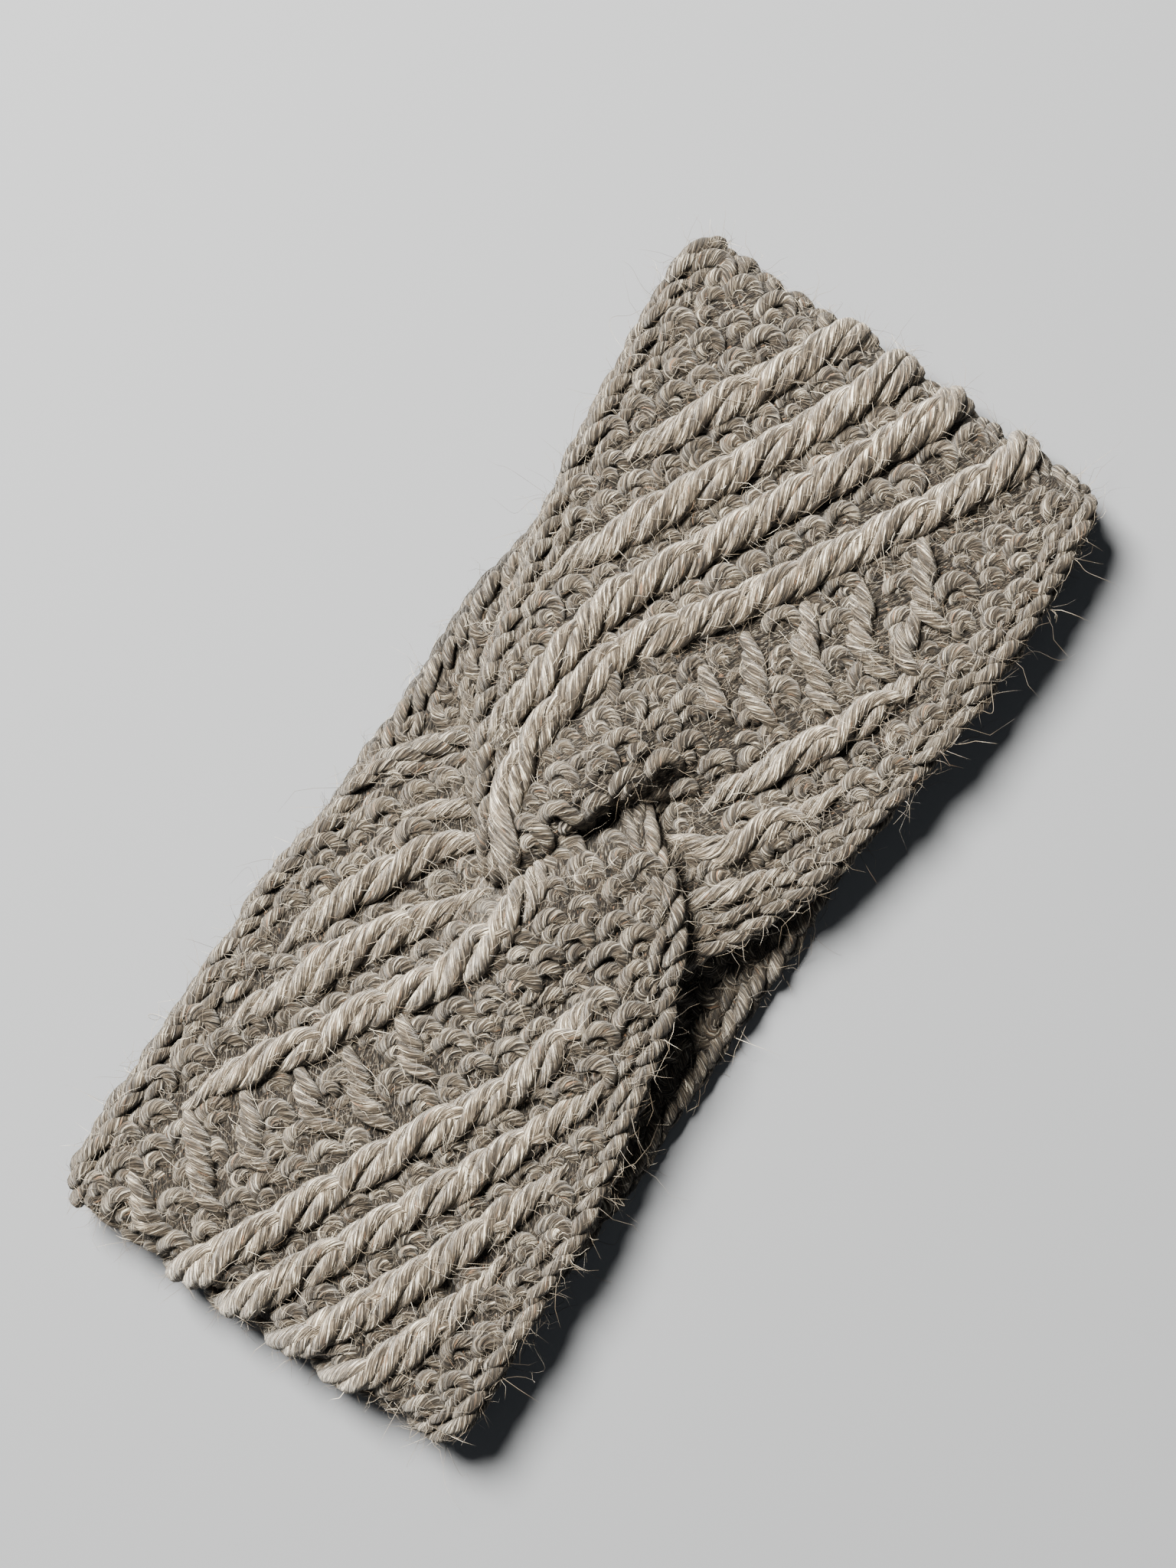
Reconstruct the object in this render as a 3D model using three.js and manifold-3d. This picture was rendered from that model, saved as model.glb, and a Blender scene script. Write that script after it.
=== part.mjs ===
// Twisted crochet headband, lying as a flattened loop.
// It is one crocheted strip. Its two ends hook round each other at the front and are sewn
// together underneath, so the front shows a twist and the back is a plain wide band.
// Millimetres: +X along the band, +Y across it, +Z up from the surface that it lies on.
// Points in the tables are measured from the middle of the twist, and BOX_CENTRE then moves
// the band so that the origin is the middle of its footprint.
import * as THREE from 'three';
import Module from 'manifold-3d';

// Driving sizes of the crocheted fabric and of the loop
const WALL = 7;
const HOLLOW = 6;
const BAND_LENGTH = 252;
const BOX_CENTRE = { x: 1, y: -1.8 };
const EDGE_THINNING = 0.4;
const EDGE_ROUND = 7;

// Heights that follow from them
const BACK_Z = WALL / 2;
const FRONT_Z = WALL * 1.5 + HOLLOW;
const FOLD_RADIUS = (FRONT_Z - BACK_Z) / 2;
const FOLD_REACH = BAND_LENGTH / 2 - FOLD_RADIUS - WALL / 2;

// The twist: the upper half of each wing climbs over the other wing's lower half
const LAYER_LIFT = WALL + 1;
const CLIMB = { from: 62, to: 17 };
const STEP_WIDTH = { twist: 3.6, wing: 34 };

// Line along which the two wings meet across the twist
const MEETING_LINE = [
  { x: -60, y: 16 },
  { x: -24, y: 9 },
  { x: -16, y: 7 },
  { x: -8, y: 4 },
  { x: 0, y: 4.2 },
  { x: 6, y: 3.4 },
  { x: 12, y: 0 },
  { x: 17, y: -6 },
  { x: 26, y: -11 },
  { x: 60, y: -16 },
];

// Sections across each wing, from its fold to its sewn end. The over edge is the selvedge that
// rides over the other wing, the under edge is the one that slips below it. The left wing is
// measured in the same way after half a turn about the middle of the twist. Steps is the number
// of stations up to the next section.
const RIGHT_WING = [
  { overX: 117, overY: 50, midX: 117, midY: -1, underX: 117, underY: -52.2, steps: 2 },
  { overX: 90, overY: 48, midX: 90, midY: -3, underX: 90, underY: -54, steps: 3 },
  { overX: 62, overY: 45, midX: 61, midY: -9, underX: 61, underY: -52.5, steps: 4 },
  { overX: 42, overY: 41, midX: 41, midY: -13, underX: 40, underY: -50, steps: 4 },
  { overX: 26, overY: 37.2, midX: 26, midY: -11, underX: 23, underY: -47, steps: 4 },
  { overX: 12, overY: 31.8, midX: 17, midY: -6, underX: 11, underY: -42.5, steps: 3 },
  { overX: 2, overY: 25.6, midX: 12, midY: 0, underX: 3, underY: -38.5, steps: 3 },
  { overX: -8, overY: 18, midX: 7, midY: 2.8, underX: -3, underY: -35.5, steps: 3 },
  { overX: -14, overY: 10.8, midX: 3, midY: 3.8, underX: -7, underY: -33.5, steps: 2 },
  { overX: -18, overY: 6.2, midX: 0, midY: 4.2, underX: -10, underY: -32, steps: 0 },
];
const LEFT_WING = [
  { overX: 115, overY: 48, midX: 115, midY: -1, underX: 115, underY: -50.2, steps: 2 },
  { overX: 90, overY: 47, midX: 90, midY: -4, underX: 90, underY: -50.4, steps: 3 },
  { overX: 62, overY: 45.2, midX: 61, midY: -10, underX: 61, underY: -50.2, steps: 4 },
  { overX: 42, overY: 41, midX: 41, midY: -12, underX: 41, underY: -49.6, steps: 5 },
  { overX: 26, overY: 36.4, midX: 26, midY: -9.4, underX: 24, underY: -47, steps: 4 },
  { overX: 12, overY: 31.6, midX: 16, midY: -7, underX: 12, underY: -45.4, steps: 3 },
  { overX: 2, overY: 26.6, midX: 10, midY: -4.8, underX: 5, underY: -43, steps: 3 },
  { overX: -6, overY: 19.6, midX: 5, midY: -4, underX: 0, underY: -38, steps: 2 },
  { overX: -11, overY: 12, midX: 1, midY: -3.4, underX: -5, underY: -34, steps: 2 },
  { overX: -16, overY: 5.6, midX: -3, midY: -1.6, underX: -8, underY: -31, steps: 0 },
];

// Selvedges of the back layer, which shows a little beyond the front one
const BACK_EDGES = [
  { x: -115, left: 50.2, right: -48 },
  { x: -84, left: 49.6, right: -46.6 },
  { x: -58, left: 48.6, right: -49.2 },
  { x: 0, left: 47.4, right: -49.8 },
  { x: 34, left: 47.2, right: -49.4 },
  { x: 54, left: 43.8, right: -50.4 },
  { x: 84, left: 46, right: -52.2 },
  { x: 117, left: 50, right: -52.2 },
];

// Raised and sunk places of the front layer: middle, reach along and across, and height
const RIGHT_RELIEF = [
  { name: 'knuckle over the left wing', x: 14, y: 6, alongX: 17, alongY: 8, height: 5.6 },
  { name: 'shoulder of the selvedge', x: 26, y: 30, alongX: 24, alongY: 8, height: 1.6 },
  { name: 'pinch', x: 22, y: -9, alongX: 8, alongY: 6, height: -3.2 },
  { name: 'end tucked under the left wing', x: -19, y: 6, alongX: 8, alongY: 6, height: -8 },
];
const LEFT_RELIEF = [
  { name: 'knuckle over the right wing', x: -13, y: -7, alongX: 15, alongY: 8, height: 1.8 },
  { name: 'dent beside the knuckle', x: -28, y: -15, alongX: 7, alongY: 4.5, height: -4.2 },
  { name: 'ridge over the tucked end', x: -17, y: 1, alongX: 10, alongY: 5, height: 1.6 },
  { name: 'hollow under the knuckle', x: 10, y: -1, alongX: 9, alongY: 4.5, height: -8 },
  { name: 'end tucked under the right wing', x: 17, y: -5, alongX: 6, alongY: 6, height: -6 },
  { name: 'sagging near selvedge', x: -17, y: -44, alongX: 24, alongY: 12, height: -6.5 },
];

// Places across the strip, and steps along it
const HALF_ACROSS = [0.05, 0.14, 0.3, 0.5, 0.72, 0.88, 0.96, 1];
const ACROSS = [...HALF_ACROSS.map((v) => -v).reverse(), ...HALF_ACROSS];
const FOLD_STEPS = 8;
const BACK_STEP = 20;

// Sewing yarn along the underside of the twist
const SEAM = {
  reach: 14,
  lean: 3,
  radius: 2,
  bulge: 0.5,
  tip: 0.5,
  stitches: 9,
  rings: 4,
  sides: 10,
  gap: 0.4,
};

const { clamp, lerp, smoothstep } = THREE.MathUtils;

// Value of a table's column at a place, straight between rows
function alongTable(table, column, x) {
  const last = table.length - 1;
  const at = clamp(table.findIndex((row) => row.x > x) - 1, 0, last - 1);
  const start = x >= table[last].x ? last - 1 : at;
  const t = clamp((x - table[start].x) / (table[start + 1].x - table[start].x), 0, 1);
  return lerp(table[start][column], table[start + 1][column], t);
}

// Value of a wing table's column at a fractional row number, as a smooth curve
function alongSections(table, column, row) {
  const i = Math.min(Math.floor(row), table.length - 2);
  const t = row - i;
  const value = (k) => table[clamp(k, 0, table.length - 1)][column];
  const [a, b, c, d] = [value(i - 1), value(i), value(i + 1), value(i + 2)];
  const square = 2 * a - 5 * b + 4 * c - d;
  const cube = 3 * b - a - 3 * c + d;
  return 0.5 * (2 * b + (c - a) * t + square * t ** 2 + cube * t ** 3);
}

// Height of a front wing's middle surface: side is 1 for the right wing and -1 for the left one.
// A sunk place never brings the wing lower than where it lies flat.
function frontHeight(side, x, y) {
  const outward = side * x;
  const overSide = side * (y - alongTable(MEETING_LINE, 'y', x));
  const climb = 1 - smoothstep(outward, CLIMB.to, CLIMB.from);
  const step = lerp(STEP_WIDTH.wing, STEP_WIDTH.twist, climb);
  const upper = smoothstep(overSide, -step, step);
  const relief = side > 0 ? RIGHT_RELIEF : LEFT_RELIEF;
  let height = FRONT_Z + LAYER_LIFT * climb * upper;
  for (const mound of relief) {
    const along = (x - mound.x) / mound.alongX;
    const across = (y - mound.y) / mound.alongY;
    const share = mound.height > 0 ? upper : 1;
    height += mound.height * share * Math.exp(-along * along - across * across);
  }
  return Math.max(FRONT_Z, height);
}

// Half thickness of the fabric at a distance in from its selvedge
function halfWall(fromEdge) {
  const t = clamp(fromEdge / EDGE_ROUND, 0, 1);
  return (WALL / 2) * (EDGE_THINNING + (1 - EDGE_THINNING) * Math.sqrt(1 - (1 - t) * (1 - t)));
}

// One station of the strip: a row of outer points and a row of inner points
function station(width, place) {
  const outer = [];
  const inner = [];
  for (const v of ACROSS) {
    const half = halfWall((1 - Math.abs(v)) * width / 2);
    const pair = place(v, half);
    outer.push(pair[0]);
    inner.push(pair[1]);
  }
  return { outer, inner };
}

// Stations of a front wing, from the sewn end to the fold
function wingStations(table, side) {
  const stations = [];
  const rows = table.flatMap(({ steps }, i) => Array.from({ length: steps }, (_, k) => i + k / steps));
  rows.push(table.length - 1);
  for (const row of rows.slice(1).reverse()) {
    const at = (column) => side * alongSections(table, column, row);
    const over = new THREE.Vector2(at('overX'), at('overY'));
    const mid = new THREE.Vector2(at('midX'), at('midY'));
    const under = new THREE.Vector2(at('underX'), at('underY'));
    const width = over.distanceTo(mid) + mid.distanceTo(under);
    stations.push(station(width, (v, half) => {
      const spot = mid.clone().lerp(v > 0 ? over : under, Math.abs(v));
      const z = frontHeight(side, spot.x, spot.y);
      return [new THREE.Vector3(spot.x, spot.y, z + half), new THREE.Vector3(spot.x, spot.y, z - half)];
    }));
  }
  return stations;
}

// Stations round the fold at the end of a wing, from the front layer down to the back layer
function foldStations(table, side) {
  const stations = [];
  const row = table[0];
  const across = (v) => side * lerp(row.midY, v > 0 ? row.overY : row.underY, Math.abs(v));
  const middleZ = (FRONT_Z + BACK_Z) / 2;
  const foldX = side * FOLD_REACH + BOX_CENTRE.x;
  for (let i = 0; i <= FOLD_STEPS; i += 1) {
    const angle = Math.PI * i / FOLD_STEPS;
    stations.push(station(row.overY - row.underY, (v, half) => {
      const point = (radius) => new THREE.Vector3(
        foldX + side * radius * Math.sin(angle),
        across(v),
        middleZ + radius * Math.cos(angle),
      );
      return [point(FOLD_RADIUS + half), point(FOLD_RADIUS - half)];
    }));
  }
  return stations;
}

// Stations along the back layer, from a fold to the middle of the back
function backStations(side) {
  const stations = [];
  const reach = FOLD_REACH + side * BOX_CENTRE.x;
  const steps = Math.round(reach / BACK_STEP);
  for (let i = 1; i <= steps; i += 1) {
    const x = side * reach * (1 - i / steps);
    const left = alongTable(BACK_EDGES, 'left', x);
    const right = alongTable(BACK_EDGES, 'right', x);
    stations.push(station(left - right, (v, half) => {
      const y = lerp(right, left, (side * v + 1) / 2);
      return [new THREE.Vector3(x, y, BACK_Z - half), new THREE.Vector3(x, y, BACK_Z + half)];
    }));
  }
  return stations;
}

// Closed mesh round a row of stations: outer face, inner face, both selvedges and both ends
function ribbon(stations) {
  const rim = stations.map(({ outer, inner }) => [...outer, ...inner.slice().reverse()]);
  return tube(rim);
}

// Closed mesh from rings of points, with a strip of triangles across each end ring
function tube(rings) {
  const size = rings[0].length;
  const positions = rings.flat().flatMap((p) => [p.x, p.y, p.z]);
  const faces = [];
  for (let i = 0; i + 1 < rings.length; i += 1) {
    for (let j = 0; j < size; j += 1) {
      const a = i * size + j;
      const b = i * size + (j + 1) % size;
      faces.push(a, b, b + size, a, b + size, a + size);
    }
  }
  const lastRing = (rings.length - 1) * size;
  for (let j = 0; j + 1 < size / 2; j += 1) {
    const across = size - 1 - j;
    for (const [base, flip] of [[0, true], [lastRing, false]]) {
      const quad = [base + j, base + j + 1, base + across - 1, base + across];
      const [p, q, r, s] = flip ? [quad[3], quad[2], quad[1], quad[0]] : quad;
      if (j + 1 === across - 1) {
        faces.push(...(flip ? [quad[3], quad[1], quad[0]] : [quad[0], quad[1], quad[3]]));
      } else {
        faces.push(p, q, r, p, r, s);
      }
    }
  }
  const geometry = new THREE.BufferGeometry();
  geometry.setAttribute('position', new THREE.Float32BufferAttribute(positions, 3));
  geometry.setIndex(faces);
  return facingOut(geometry);
}

// Turns a closed mesh the right way round if its volume comes out negative
function facingOut(geometry) {
  const p = geometry.attributes.position;
  const index = geometry.index.array;
  const [a, b, c] = [new THREE.Vector3(), new THREE.Vector3(), new THREE.Vector3()];
  let volume = 0;
  for (let i = 0; i < index.length; i += 3) {
    a.fromBufferAttribute(p, index[i]);
    b.fromBufferAttribute(p, index[i + 1]);
    c.fromBufferAttribute(p, index[i + 2]);
    volume += a.dot(b.cross(c));
  }
  if (volume < 0) {
    for (let i = 0; i < index.length; i += 3) {
      [index[i + 1], index[i + 2]] = [index[i + 2], index[i + 1]];
    }
  }
  return geometry;
}

const wasm = await Module();
wasm.setup();

function toSolid(geometry) {
  return new wasm.Manifold(new wasm.Mesh({
    numProp: 3,
    vertProperties: new Float32Array(geometry.attributes.position.array),
    triVerts: new Uint32Array(geometry.index.array),
  }));
}

function toGeometry(solid) {
  const mesh = solid.getMesh();
  const geometry = new THREE.BufferGeometry();
  geometry.setAttribute('position', new THREE.BufferAttribute(mesh.vertProperties, 3));
  geometry.setIndex(new THREE.BufferAttribute(mesh.triVerts, 1));
  geometry.computeVertexNormals();
  return geometry;
}

// Half of the loop: a front wing, its fold and half of the back layer
function halfLoop(table, side) {
  return ribbon([...wingStations(table, side), ...foldStations(table, side), ...backStations(side)]);
}

// The strip: both halves join at the middle of the back and where they are sewn in the twist
function crochetStrip() {
  const right = toSolid(halfLoop(RIGHT_WING, 1));
  const left = toSolid(halfLoop(LEFT_WING, -1));
  return toGeometry(right.add(left));
}

// The sewing yarn: a row of overcast stitches under the meeting line
function seamYarn() {
  const z = FRONT_Z - WALL / 2 - SEAM.gap - SEAM.radius - SEAM.bulge;
  const count = SEAM.stitches * SEAM.rings;
  const rings = [];
  for (let i = 0; i <= count; i += 1) {
    const x = lerp(-SEAM.reach, SEAM.reach, i / count);
    const y = alongTable(MEETING_LINE, 'y', x) - SEAM.lean * x / SEAM.reach;
    const end = Math.min(i, count - i);
    const taper = end === 0 ? SEAM.tip : 1;
    const radius = (SEAM.radius + SEAM.bulge * Math.sin(Math.PI * i / SEAM.rings) ** 2) * taper;
    const ring = [];
    for (let j = 0; j < SEAM.sides; j += 1) {
      const angle = 2 * Math.PI * j / SEAM.sides;
      ring.push(new THREE.Vector3(x, y + radius * Math.cos(angle), z + radius * Math.sin(angle)));
    }
    rings.push(ring);
  }
  return tube(rings);
}

const wool = new THREE.MeshStandardMaterial({ color: 0xcfc6b4, roughness: 0.95, metalness: 0 });
const sewingWool = new THREE.MeshStandardMaterial({ color: 0xc4baa6, roughness: 0.95, metalness: 0 });

function piece(name, geometry, material) {
  const mesh = new THREE.Mesh(geometry, material);
  mesh.name = name;
  mesh.position.set(-BOX_CENTRE.x, -BOX_CENTRE.y, 0);
  return mesh;
}

const headband = new THREE.Group();
headband.add(piece('crochet_strip', crochetStrip(), wool));
headband.add(piece('seam_yarn', seamYarn(), sewingWool));

export default headband;
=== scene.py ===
import math

import bpy
import numpy as np
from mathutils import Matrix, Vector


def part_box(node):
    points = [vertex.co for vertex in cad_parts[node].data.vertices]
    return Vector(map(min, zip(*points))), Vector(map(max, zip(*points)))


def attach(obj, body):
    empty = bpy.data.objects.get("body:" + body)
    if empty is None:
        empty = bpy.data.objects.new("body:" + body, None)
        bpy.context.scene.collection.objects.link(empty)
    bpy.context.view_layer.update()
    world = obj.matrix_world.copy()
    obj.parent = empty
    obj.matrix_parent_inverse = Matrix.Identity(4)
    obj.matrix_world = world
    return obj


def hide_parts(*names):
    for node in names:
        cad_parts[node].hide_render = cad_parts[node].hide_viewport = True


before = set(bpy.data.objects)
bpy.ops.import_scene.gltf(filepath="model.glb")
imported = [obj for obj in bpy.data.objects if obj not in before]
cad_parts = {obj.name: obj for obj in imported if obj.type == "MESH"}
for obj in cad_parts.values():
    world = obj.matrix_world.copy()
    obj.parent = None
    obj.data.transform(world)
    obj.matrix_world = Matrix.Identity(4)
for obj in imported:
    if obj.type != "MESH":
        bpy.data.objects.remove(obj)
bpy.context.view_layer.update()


# Camera
# It looks straight down at the lying band, turned so that the band runs from the lower left of
# the picture to its upper right. The band is 245 mm long there, and 1483 pixels.
MM = 0.001
PICTURE_HEIGHT = 2048
BAND_LENGTH, BAND_PIXELS = 245, 1483
MM_PER_PIXEL = BAND_LENGTH / BAND_PIXELS
CAMERA_ABOVE = 750
AIM = (11.6, 7.2, 12)
BAND_ACROSS_PICTURE, BAND_UP_PICTURE = 0.554, 0.832
PICTURE_TURN = -math.atan2(BAND_UP_PICTURE, BAND_ACROSS_PICTURE)
SENSOR = 36

lens = bpy.data.cameras.new("camera")
lens.sensor_fit = "VERTICAL"
lens.sensor_height = SENSOR
lens.lens = SENSOR * (CAMERA_ABOVE - AIM[2]) / (PICTURE_HEIGHT * MM_PER_PIXEL)
lens.clip_start = 0.05
camera = bpy.data.objects.new("camera", lens)
camera.location = (AIM[0] * MM, AIM[1] * MM, CAMERA_ABOVE * MM)
camera.rotation_euler = (0, 0, PICTURE_TURN)
bpy.context.collection.objects.link(camera)
bpy.context.scene.camera = camera


# Floor and light
# A plain pale floor. One broad lamp stands beyond the band's far selvedge, so the raised
# stitches throw short shadows across the band, and a weak wide one fills them from above.
FLOOR_REACH = 3.0


def lamp(name, place, size, power, colour):
    """A round lamp that faces the middle of the floor."""
    light = bpy.data.lights.new(name, "AREA")
    light.shape = "DISK"
    light.size = size
    light.energy = power
    light.color = colour
    body = bpy.data.objects.new(name, light)
    body.location = place
    away = np.array(place) / np.linalg.norm(place)
    body.rotation_euler = (math.acos(away[2]), 0, math.atan2(away[1], away[0]) + math.pi / 2)
    bpy.context.collection.objects.link(body)


lamp("window", (0.26, 0.84, 1.17), 0.60, 176, (1.0, 0.96, 0.90))
lamp("ceiling", (-0.25, -0.35, 1.5), 1.6, 2.2, (0.93, 0.96, 1.0))

world = bpy.data.worlds.new("studio")
world.use_nodes = True
world.node_tree.nodes["Background"].inputs["Color"].default_value = (0.86, 0.90, 0.96, 1)
world.node_tree.nodes["Background"].inputs["Strength"].default_value = 0.06
bpy.context.scene.world = world

floor_mesh = bpy.data.meshes.new("floor")
floor_mesh.from_pydata(
    [(-FLOOR_REACH, -FLOOR_REACH, 0), (FLOOR_REACH, -FLOOR_REACH, 0),
     (FLOOR_REACH, FLOOR_REACH, 0), (-FLOOR_REACH, FLOOR_REACH, 0)], [], [(0, 1, 2, 3)])
floor = bpy.data.objects.new("floor", floor_mesh)
bpy.context.collection.objects.link(floor)
floor_finish = bpy.data.materials.new("floor_paper")
floor_finish.use_nodes = True
floor_shader = floor_finish.node_tree.nodes["Principled BSDF"]
floor_shader.inputs["Base Color"].default_value = (0.160, 0.169, 0.180, 1)
floor_shader.inputs["Roughness"].default_value = 0.85
floor_mesh.materials.append(floor_finish)


# The fabric wall
# The plain ground of the crochet, between and below the raised stitches: one strip of wool,
# worked in one piece, hooked round itself in the twist and sewn to itself there.

# The strip is 7 mm of crochet. It runs from its sewn end in the twist out along a wing, round a
# fold, back under the twist, round the other fold and in along the other wing. A place on it is
# side (1 for the right wing, -1 for the left), along (mm out from the twist), y and height.
WALL = 7
HOLLOW = 6
strip_low, strip_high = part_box("crochet_strip")
band_length = (strip_high[0] - strip_low[0]) / MM
TWIST_X, TWIST_Y = 1, -1.8
BACK_Z = WALL / 2
FRONT_Z = 1.5 * WALL + HOLLOW
MIDDLE_Z = (FRONT_Z + BACK_Z) / 2
FOLD_RADIUS = (FRONT_Z - BACK_Z) / 2
FOLD_REACH = band_length / 2 - FOLD_RADIUS - WALL / 2
FOLD_LENGTH = math.pi * FOLD_RADIUS
LAYER_LIFT = WALL + 1
CLIMB_FROM, CLIMB_TO = 62, 17
TWIST_STEP, WING_STEP = 3.6, 34
FLOOR_PRESS = 0.43
FOLD_PRESS = 0.24
SINK = 1.8
FOLD_DRAW = 0.07

# Line along which the two wings meet across the twist: x, y
MEETING_LINE = np.array([
    (-60, 16), (-24, 9), (-16, 7), (-8, 4), (0, 4.2), (6, 3.4), (12, 0), (17, -6), (26, -11), (60, -16)])

# Raised and sunk places of the wings: side, x, y, reach along, reach across, height
RELIEF = [
    (1, 14, 6, 17, 8, 5.6),
    (1, 26, 30, 24, 8, 1.6),
    (1, 22, -9, 8, 6, -3.2),
    (1, -19, 6, 8, 6, -8),
    (1, 14, -46, 22, 9, -3),
    (-1, -13, -7, 15, 8, 1.8),
    (-1, -28, -15, 7, 4.5, -4.2),
    (-1, -17, 1, 10, 5, 1.6),
    (-1, 10, -1, 9, 4.5, -8),
    (-1, 17, -5, 6, 6, -6),
    (-1, -17, -44, 24, 12, -6.5),
]


def smooth(t):
    t = np.clip(t, 0, 1)
    return t * t * (3 - 2 * t)


def front_height(side, x, y):
    """Height of a wing's middle surface: it climbs towards the twist where it lies on the other."""
    outward = side * x
    over = side * (y - np.interp(x, MEETING_LINE[:, 0], MEETING_LINE[:, 1]))
    climb = 1 - smooth((outward - CLIMB_TO) / (CLIMB_FROM - CLIMB_TO))
    step = WING_STEP + (TWIST_STEP - WING_STEP) * climb
    upper = smooth((over + step) / (2 * step))
    height = FRONT_Z + LAYER_LIFT * climb * upper
    for wing, at_x, at_y, reach_x, reach_y, rise in RELIEF:
        mound = rise * np.exp(-((x - at_x) / reach_x) ** 2 - ((y - at_y) / reach_y) ** 2)
        height = height + np.where(side == wing, mound * (upper if rise > 0 else 1), 0)
    return np.maximum(FRONT_Z - SINK, height)


def floor_press(side, along):
    """How much the raised stitches are flattened: a little round the folds, more on the floor."""
    turn = np.clip((along - FOLD_REACH - side * TWIST_X) / FOLD_RADIUS, 0, math.pi)
    under = smooth(2 * turn / math.pi - 1)
    return 1 - FOLD_PRESS * np.sin(turn) ** 2 - (1 - FLOOR_PRESS) * under


def lie(side, along, y, height):
    """Points in metres of places on the strip; height is in mm out from its middle surface."""
    side, along, y, height = np.broadcast_arrays(side, along, y, height)
    reach = FOLD_REACH + side * TWIST_X
    x = side * np.minimum(along, reach)
    step = 0.5
    z = front_height(side, x, y)
    slope_x = (front_height(side, x + step, y) - front_height(side, x - step, y)) / (2 * step)
    slope_y = (front_height(side, x, y + step) - front_height(side, x, y - step)) / (2 * step)
    steep = np.sqrt(1 + slope_x ** 2 + slope_y ** 2)
    front = np.stack([x - height * slope_x / steep, y - height * slope_y / steep, z + height / steep], -1)
    turn = np.clip((along - reach) / FOLD_RADIUS, 0, math.pi)
    past = np.maximum(along - reach - FOLD_LENGTH, 0)
    radius = FOLD_RADIUS + height * np.where(height > 0, floor_press(side, along), 1)
    drawn_in = y * (1 - FOLD_DRAW * np.sin(turn) ** 2)
    rest = np.stack([
        side * (reach + radius * np.sin(turn) - past), drawn_in, MIDDLE_Z + radius * np.cos(turn)], -1)
    points = np.where((turn > 0)[..., None], rest, front)
    return (points - np.array([TWIST_X, TWIST_Y, 0])) * MM


# Sections across a wing: over selvedge x, y, middle x, y, under selvedge x, y. The left wing is
# measured after half a turn about the middle of the twist.
RIGHT_SECTIONS = np.array([
    (117, 50, 117, -1, 117, -52.2),
    (90, 48, 90, -3, 90, -54),
    (62, 45, 61, -9, 61, -52.5),
    (42, 41, 41, -13, 40, -50),
    (26, 37.2, 26, -11, 23, -47),
    (12, 31.8, 17, -6, 11, -42.5),
    (2, 25.6, 12, 0, 3, -38.5),
    (-8, 18, 7, 2.8, -3, -35.5),
    (-14, 10.8, 3, 3.8, -7, -33.5),
    (-18, 6.2, 0, 4.2, -10, -32),
])
LEFT_SECTIONS = np.array([
    (115, 48, 115, -1, 115, -50.2),
    (90, 47, 90, -4, 90, -50.4),
    (62, 45.2, 61, -10, 61, -50.2),
    (42, 41, 41, -12, 41, -49.6),
    (26, 36.4, 26, -9.4, 24, -47),
    (12, 31.6, 16, -7, 12, -45.4),
    (2, 26.6, 10, -4.8, 5, -43),
    (-6, 19.6, 5, -4, 0, -38),
    (-11, 12, 1, -3.4, -5, -34),
    (-16, 5.6, -3, -1.6, -8, -31),
])
SECTIONS = {1: RIGHT_SECTIONS, -1: LEFT_SECTIONS}

# Selvedges of the back layer: x, left y, right y
BACK_EDGES = np.array([
    (-115, 50.2, -48), (-84, 49.6, -46.6), (-58, 48.6, -49.2), (0, 47.4, -49.8),
    (34, 47.2, -49.4), (54, 43.8, -50.4), (84, 46, -52.2), (117, 50, -52.2)])


def through(points, count):
    """A smooth curve through the rows of a table, at evenly spread fractional rows."""
    points = np.asarray(points, float)
    rows = np.linspace(0, len(points) - 1, count)
    i = np.minimum(rows.astype(int), len(points) - 2)
    t = (rows - i)[:, None]
    padded = np.vstack([points[:1], points, points[-1:]])
    a, b, c, d = (padded[i + k] for k in range(4))
    square = 2 * a - 5 * b + 4 * c - d
    cube = 3 * b - a - 3 * c + d
    return 0.5 * (2 * b + (c - a) * t + square * t ** 2 + cube * t ** 3)


def spaced(points, gap):
    """The same curve with its points an even distance apart."""
    steps = np.linalg.norm(np.diff(points, axis=0), axis=1)
    lengths = np.concatenate([[0], np.cumsum(steps)])
    at = np.linspace(0, lengths[-1], max(2, round(lengths[-1] / gap) + 1))
    return np.stack([np.interp(at, lengths, points[:, k]) for k in range(points.shape[1])], 1)


def build_mesh(name, points, loops, starts, uvs, finish):
    """A piece from numpy arrays: every piece rides on the band's one body."""
    mesh = bpy.data.meshes.new(name)
    mesh.vertices.add(len(points))
    mesh.vertices.foreach_set("co", np.ascontiguousarray(points, np.float32).ravel())
    mesh.loops.add(len(loops))
    mesh.loops.foreach_set("vertex_index", np.ascontiguousarray(loops, np.int32))
    mesh.polygons.add(len(starts))
    mesh.polygons.foreach_set("loop_start", np.ascontiguousarray(starts, np.int32))
    layer = mesh.uv_layers.new(name="along_and_around")
    layer.data.foreach_set("uv", np.ascontiguousarray(uvs, np.float32).ravel())
    mesh.polygons.foreach_set("use_smooth", np.ones(len(starts), bool))
    mesh.update(calc_edges=True)
    mesh.materials.append(finish)
    piece = bpy.data.objects.new(name, mesh)
    bpy.context.collection.objects.link(piece)
    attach(piece, "root")
    return piece


# Every surface is the same loosely plied wool. Its fibres lie along the yarn in locks about a
# millimetre wide, cream to tan, with a few brown ones, and the furrows between the locks come and
# go. The furrows are sunk by the bump and also painted darker, as painted shade. U runs along the
# yarn in mm and V once round it, and on the wall both are in mm.
WANDER = 7
LOCK_BREADTH = 0.6
# Painted shade: how much darker the colour is in a furrow than on a lock's crest, in tone steps
GROOVE_SHADE = 0.13
FLECK_SHARE = 0.5
LOCK_RELIEF, FINE_RELIEF = 0.60, 1.3

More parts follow.
